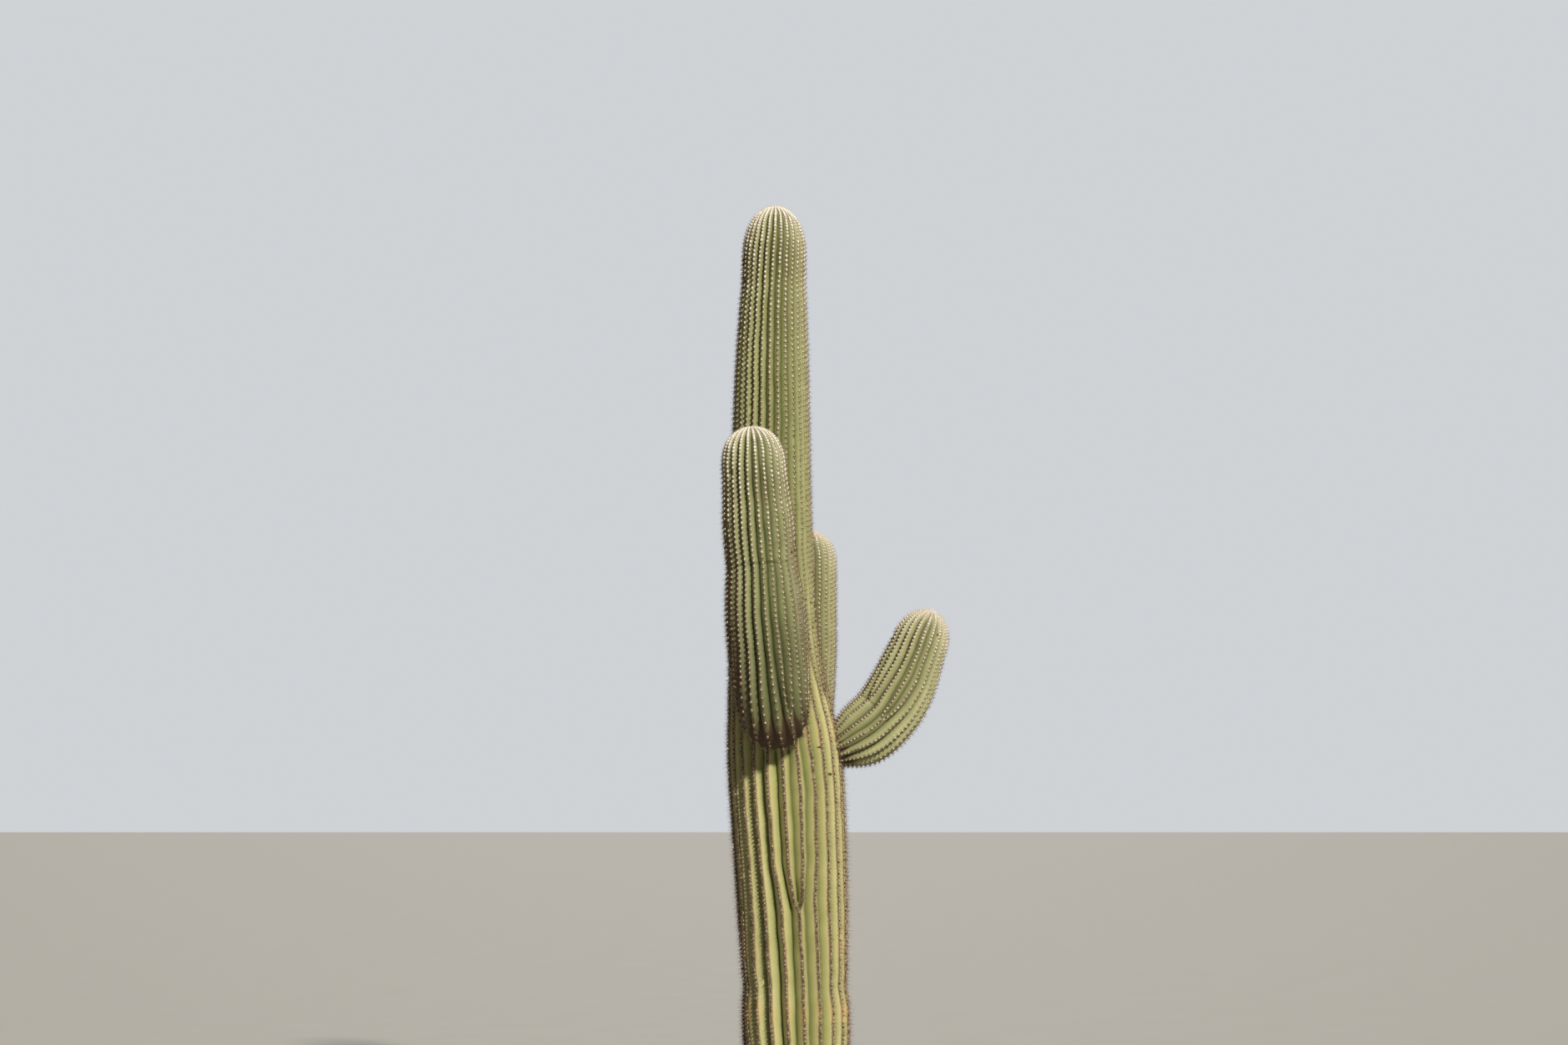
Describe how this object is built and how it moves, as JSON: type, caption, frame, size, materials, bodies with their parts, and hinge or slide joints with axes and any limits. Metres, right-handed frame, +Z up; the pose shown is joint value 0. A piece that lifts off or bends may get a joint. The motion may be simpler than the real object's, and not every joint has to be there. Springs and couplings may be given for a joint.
{
  "type": "saguaro cactus",
  "caption": "Tall ribbed columnar cactus with upturned arms, rooted in level ground at the flat cut under its trunk.",
  "frame": {"origin": "centre of the flat cut under the trunk, at ground level", "axes": "+Z up the trunk, -Y towards the side that the picture shows, +X to the viewer's right"},
  "size_m": [1.068, 1.1093, 4.584],
  "materials": {
    "trunk_skin": "satin waxy ribbed plant skin",
    "arm_skin": "satin waxy ribbed plant skin"
  },
  "bodies": {
    "root": {"trunk": "trunk_skin", "front_arm_elbow": "arm_skin", "front_arm_upright": "arm_skin", "back_arm_elbow": "arm_skin", "back_arm_upright": "arm_skin", "right_arm": "arm_skin"}
  },
  "joints": []
}
